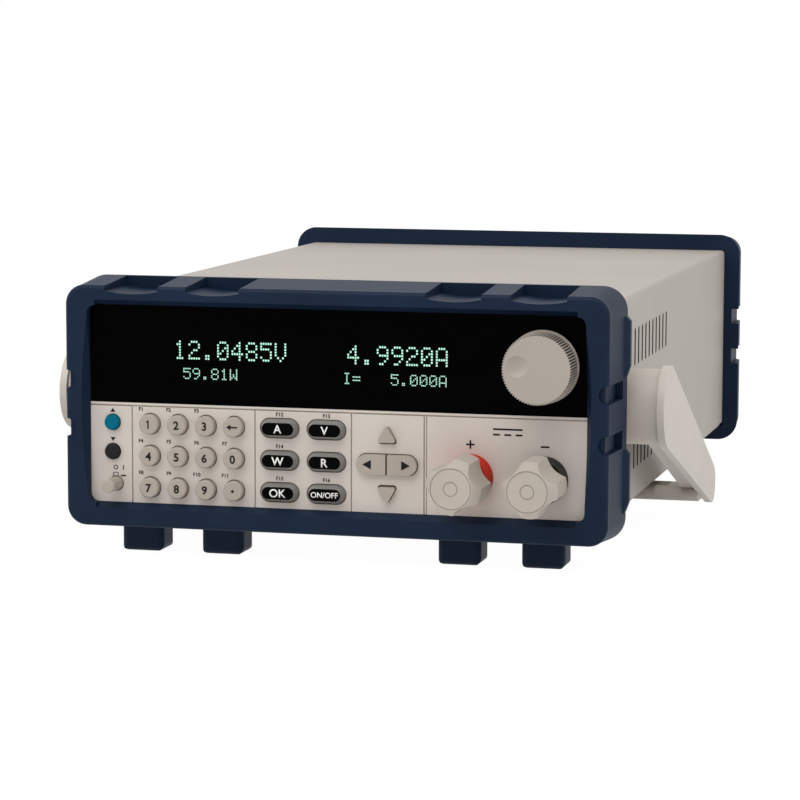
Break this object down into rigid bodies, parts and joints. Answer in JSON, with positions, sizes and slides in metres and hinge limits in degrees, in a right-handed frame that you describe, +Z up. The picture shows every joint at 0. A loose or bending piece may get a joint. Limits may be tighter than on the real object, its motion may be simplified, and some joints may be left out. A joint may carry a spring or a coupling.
{
  "type": "dc electronic load",
  "caption": "Bench DC electronic load: half-rack case between moulded bumpers, with a keypad, display window, control knob, screw terminals and a swinging carry handle.",
  "frame": {"origin": "middle of the overall box, on the plane that the feet stand on", "axes": "+X to the right of the front panel, +Y from the front panel back to the rear panel, +Z up"},
  "size_m": [0.2578, 0.4004, 0.1131],
  "materials": {
    "bumper_rubber": "satin",
    "case_paint": "fine texture",
    "panel_plastic": "fine matt",
    "window_black": "gloss",
    "display_glass": "gloss",
    "key_beige": "matt",
    "key_grey": "matt",
    "key_teal": "matt",
    "key_dark": "matt",
    "mat_rubber": "matt",
    "board_green": "satin",
    "knob_plastic": "fine matt",
    "turned_steel": "turned",
    "black_plastic": "matt",
    "post_red": "satin",
    "post_black": "satin",
    "stud_brass": "turned",
    "cap_plastic": "matt",
    "handle_plastic": "fine matt",
    "fin_aluminium": "extruded",
    "core_iron": "varnished",
    "socket_grey": "matt"
  },
  "bodies": {
    "case": {"front_bumper": "bumper_rubber", "rear_bumper": "bumper_rubber", "top_cover": "case_paint", "chassis_tray": "case_paint", "front_panel": "panel_plastic", "display_window": "window_black", "display_module": "display_glass", "key_mat": "mat_rubber", "front_board": "board_green", "encoder_body": "black_plastic", "power_switch": "black_plastic", "post_base_plus": "post_red", "post_base_minus": "post_black", "post_studs": "stud_brass", "handle_pivots": "handle_plastic", "rear_panel": "case_paint", "fan_frame": "black_plastic", "fan_guard": "turned_steel", "heatsink": "fin_aluminium", "power_transistors": "black_plastic", "main_board": "board_green", "mains_transformer": "core_iron", "mains_inlet": "black_plastic", "rear_sockets": "socket_grey", "case_screws": "turned_steel"},
    "key_1": {"key_1": "key_beige"},
    "key_2": {"key_2": "key_beige"},
    "key_3": {"key_3": "key_beige"},
    "key_escape": {"key_escape": "key_beige"},
    "key_4": {"key_4": "key_beige"},
    "key_5": {"key_5": "key_beige"},
    "key_6": {"key_6": "key_beige"},
    "key_0": {"key_0": "key_beige"},
    "key_7": {"key_7": "key_beige"},
    "key_8": {"key_8": "key_beige"},
    "key_9": {"key_9": "key_beige"},
    "key_point": {"key_point": "key_beige"},
    "key_current": {"key_current": "key_grey"},
    "key_voltage": {"key_voltage": "key_grey"},
    "key_power": {"key_power": "key_grey"},
    "key_resistance": {"key_resistance": "key_grey"},
    "key_enter": {"key_enter": "key_grey"},
    "key_on_off": {"key_on_off": "key_grey"},
    "key_up": {"key_up": "key_beige"},
    "key_down": {"key_down": "key_beige"},
    "key_left": {"key_left": "key_beige"},
    "key_right": {"key_right": "key_beige"},
    "key_shift": {"key_shift": "key_teal"},
    "key_local": {"key_local": "key_dark"},
    "power_button": {"power_button": "key_beige"},
    "knob": {"encoder_knob": "knob_plastic", "encoder_shaft": "turned_steel"},
    "handle": {"handle_arm_left": "handle_plastic", "handle_arm_right": "handle_plastic", "handle_bar": "handle_plastic"},
    "washer_plus": {"clamp_washer_plus": "turned_steel"},
    "cap_plus": {"post_cap_plus": "cap_plastic"},
    "washer_minus": {"clamp_washer_minus": "turned_steel"},
    "cap_minus": {"post_cap_minus": "cap_plastic"},
    "fan": {"fan_rotor": "black_plastic"}
  },
  "joints": [
    {"name": "key_1_press", "type": "slide", "parent": "case", "child": "key_1", "axis": [0, 1, 0], "range_m": [0, 0.0012], "stiffness_N_per_m": 400},
    {"name": "key_2_press", "type": "slide", "parent": "case", "child": "key_2", "axis": [0, 1, 0], "range_m": [0, 0.0012], "stiffness_N_per_m": 400},
    {"name": "key_3_press", "type": "slide", "parent": "case", "child": "key_3", "axis": [0, 1, 0], "range_m": [0, 0.0012], "stiffness_N_per_m": 400},
    {"name": "key_escape_press", "type": "slide", "parent": "case", "child": "key_escape", "axis": [0, 1, 0], "range_m": [0, 0.0012], "stiffness_N_per_m": 400},
    {"name": "key_4_press", "type": "slide", "parent": "case", "child": "key_4", "axis": [0, 1, 0], "range_m": [0, 0.0012], "stiffness_N_per_m": 400},
    {"name": "key_5_press", "type": "slide", "parent": "case", "child": "key_5", "axis": [0, 1, 0], "range_m": [0, 0.0012], "stiffness_N_per_m": 400},
    {"name": "key_6_press", "type": "slide", "parent": "case", "child": "key_6", "axis": [0, 1, 0], "range_m": [0, 0.0012], "stiffness_N_per_m": 400},
    {"name": "key_0_press", "type": "slide", "parent": "case", "child": "key_0", "axis": [0, 1, 0], "range_m": [0, 0.0012], "stiffness_N_per_m": 400},
    {"name": "key_7_press", "type": "slide", "parent": "case", "child": "key_7", "axis": [0, 1, 0], "range_m": [0, 0.0012], "stiffness_N_per_m": 400},
    {"name": "key_8_press", "type": "slide", "parent": "case", "child": "key_8", "axis": [0, 1, 0], "range_m": [0, 0.0012], "stiffness_N_per_m": 400},
    {"name": "key_9_press", "type": "slide", "parent": "case", "child": "key_9", "axis": [0, 1, 0], "range_m": [0, 0.0012], "stiffness_N_per_m": 400},
    {"name": "key_point_press", "type": "slide", "parent": "case", "child": "key_point", "axis": [0, 1, 0], "range_m": [0, 0.0012], "stiffness_N_per_m": 400},
    {"name": "key_current_press", "type": "slide", "parent": "case", "child": "key_current", "axis": [0, 1, 0], "range_m": [0, 0.0012], "stiffness_N_per_m": 400},
    {"name": "key_voltage_press", "type": "slide", "parent": "case", "child": "key_voltage", "axis": [0, 1, 0], "range_m": [0, 0.0012], "stiffness_N_per_m": 400},
    {"name": "key_power_press", "type": "slide", "parent": "case", "child": "key_power", "axis": [0, 1, 0], "range_m": [0, 0.0012], "stiffness_N_per_m": 400},
    {"name": "key_resistance_press", "type": "slide", "parent": "case", "child": "key_resistance", "axis": [0, 1, 0], "range_m": [0, 0.0012], "stiffness_N_per_m": 400},
    {"name": "key_enter_press", "type": "slide", "parent": "case", "child": "key_enter", "axis": [0, 1, 0], "range_m": [0, 0.0012], "stiffness_N_per_m": 400},
    {"name": "key_on_off_press", "type": "slide", "parent": "case", "child": "key_on_off", "axis": [0, 1, 0], "range_m": [0, 0.0012], "stiffness_N_per_m": 400},
    {"name": "key_up_press", "type": "slide", "parent": "case", "child": "key_up", "axis": [0, 1, 0], "range_m": [0, 0.0012], "stiffness_N_per_m": 400},
    {"name": "key_down_press", "type": "slide", "parent": "case", "child": "key_down", "axis": [0, 1, 0], "range_m": [0, 0.0012], "stiffness_N_per_m": 400},
    {"name": "key_left_press", "type": "slide", "parent": "case", "child": "key_left", "axis": [0, 1, 0], "range_m": [0, 0.0012], "stiffness_N_per_m": 400},
    {"name": "key_right_press", "type": "slide", "parent": "case", "child": "key_right", "axis": [0, 1, 0], "range_m": [0, 0.0012], "stiffness_N_per_m": 400},
    {"name": "key_shift_press", "type": "slide", "parent": "case", "child": "key_shift", "axis": [0, 1, 0], "range_m": [0, 0.0012], "stiffness_N_per_m": 400},
    {"name": "key_local_press", "type": "slide", "parent": "case", "child": "key_local", "axis": [0, 1, 0], "range_m": [0, 0.0012], "stiffness_N_per_m": 400},
    {"name": "power_button_press", "type": "slide", "parent": "case", "child": "power_button", "axis": [0, 1, 0], "range_m": [0, 0.003], "stiffness_N_per_m": 400},
    {"name": "knob_turn", "type": "hinge", "parent": "case", "child": "knob", "pos_m": [0.08575, -0.16575, 0.08265], "axis": [0, -1, 0], "continuous": true},
    {"name": "handle_swing", "type": "hinge", "parent": "case", "child": "handle", "pos_m": [0, -0.11775, 0.0622], "axis": [-1, 0, 0], "range_deg": [0, 300]},
    {"name": "fan_spin", "type": "hinge", "parent": "case", "child": "fan", "pos_m": [0.05605, 0.17425, 0.0611], "axis": [0, 1, 0], "continuous": true},
    {"name": "cap_plus_turn", "type": "hinge", "parent": "washer_plus", "child": "cap_plus", "pos_m": [0.05635, -0.17575, 0.0375], "axis": [0, -1, 0], "range_deg": [0, 1730]},
    {"name": "cap_plus_travel", "type": "slide", "parent": "case", "child": "washer_plus", "axis": [0, -1, 0], "range_m": [0, 0.006]},
    {"name": "cap_minus_turn", "type": "hinge", "parent": "washer_minus", "child": "cap_minus", "pos_m": [0.08675, -0.17575, 0.0375], "axis": [0, -1, 0], "range_deg": [0, 1730]},
    {"name": "cap_minus_travel", "type": "slide", "parent": "case", "child": "washer_minus", "axis": [0, -1, 0], "range_m": [0, 0.006]}
  ],
  "couplings": [
    {"joint": "cap_plus_turn", "follows": "cap_plus_travel", "rad_per_m": 5026.5},
    {"joint": "cap_minus_turn", "follows": "cap_minus_travel", "rad_per_m": 5026.5}
  ]
}
